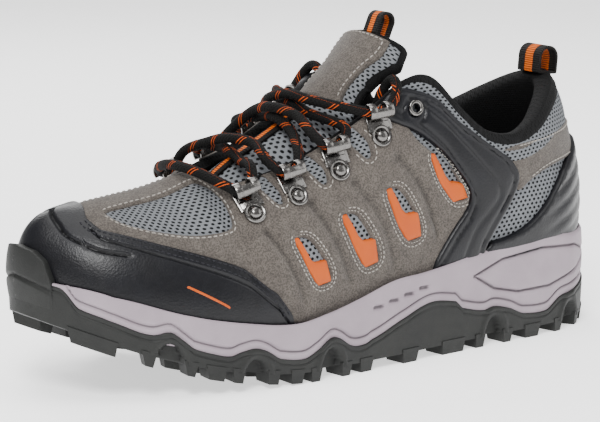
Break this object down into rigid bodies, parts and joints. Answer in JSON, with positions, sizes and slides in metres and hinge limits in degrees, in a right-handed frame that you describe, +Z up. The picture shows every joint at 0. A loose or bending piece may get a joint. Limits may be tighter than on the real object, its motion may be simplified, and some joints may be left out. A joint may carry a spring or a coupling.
{
  "type": "hiking shoe",
  "caption": "Low-cut hiking shoe for the left foot: lugged rubber sole, foam midsole, mesh and suede upper, metal speed-lace hooks and one round lace.",
  "frame": {"origin": "on the ground plane, under the middle of the box round the shoe", "axes": "+X from toe to heel, +Y to the inner (medial) side, +Z up"},
  "size_m": [0.2986, 0.1021, 0.1498],
  "materials": {
    "rubber": "matte",
    "midsole_foam": "matte",
    "steel": "satin",
    "board": "matte",
    "lining_fabric": "matte",
    "stiffener_sheet": "matte",
    "padding_foam": "matte",
    "mesh_fabric": "matte",
    "moulded_overlay": "satin",
    "suede": "matte",
    "orange_ribbon": "matte",
    "black_ribbon": "matte",
    "lace_cord": "matte",
    "lace_tip": "gloss",
    "vent_trim": "satin",
    "hook_metal": "satin"
  },
  "bodies": {
    "shoe": {"outsole": "rubber", "toe_bumper": "rubber", "midsole": "midsole_foam", "shank": "steel", "insole_board": "board", "footbed": "lining_fabric", "lining": "lining_fabric", "toe_puff": "stiffener_sheet", "heel_stiffener": "stiffener_sheet", "collar_padding": "padding_foam", "mesh_upper": "mesh_fabric", "toe_cap": "moulded_overlay", "vamp_strip": "suede", "heel_band": "suede", "heel_cap": "moulded_overlay", "tongue_lower": "mesh_fabric", "keeper_ribbon": "orange_ribbon", "lace": "lace_cord", "aglet_1": "lace_tip", "aglet_2": "lace_tip", "lateral_suede_quarter": "suede", "lateral_strap": "moulded_overlay", "lateral_grommet": "steel", "lateral_vent_trim_1": "vent_trim", "lateral_hook_1": "hook_metal", "lateral_rivet_1": "hook_metal", "lateral_vent_trim_2": "vent_trim", "lateral_hook_2": "hook_metal", "lateral_rivet_2": "hook_metal", "lateral_vent_trim_3": "vent_trim", "lateral_hook_3": "hook_metal", "lateral_rivet_3": "hook_metal", "lateral_vent_trim_4": "vent_trim", "lateral_hook_4": "hook_metal", "lateral_rivet_4": "hook_metal", "medial_suede_quarter": "suede", "medial_strap": "moulded_overlay", "medial_grommet": "steel", "medial_vent_trim_1": "vent_trim", "medial_hook_1": "hook_metal", "medial_rivet_1": "hook_metal", "medial_vent_trim_2": "vent_trim", "medial_hook_2": "hook_metal", "medial_rivet_2": "hook_metal", "medial_vent_trim_3": "vent_trim", "medial_hook_3": "hook_metal", "medial_rivet_3": "hook_metal", "medial_vent_trim_4": "vent_trim", "medial_hook_4": "hook_metal", "medial_rivet_4": "hook_metal"},
    "tongue_flap": {"tongue_top": "mesh_fabric", "tongue_patch": "suede"},
    "tongue_loop": {"tongue_loop": "black_ribbon"},
    "heel_loop": {"heel_loop": "black_ribbon"}
  },
  "joints": [
    {"name": "tongue_fold", "type": "hinge", "parent": "shoe", "child": "tongue_flap", "pos_m": [-0.004, 0, 0.112], "axis": [0, -1, 0], "range_deg": [-10, 40], "stiffness_Nm_per_rad": 0.05},
    {"name": "tongue_loop_swing", "type": "hinge", "parent": "tongue_flap", "child": "tongue_loop", "pos_m": [0.03162, -0.004, 0.14049], "axis": [0, 1, 0], "range_deg": [-20, 20], "stiffness_Nm_per_rad": 0.01},
    {"name": "heel_loop_swing", "type": "hinge", "parent": "shoe", "child": "heel_loop", "pos_m": [0.12842, 0, 0.11659], "axis": [0, 1, 0], "range_deg": [-15, 15], "stiffness_Nm_per_rad": 0.01}
  ]
}
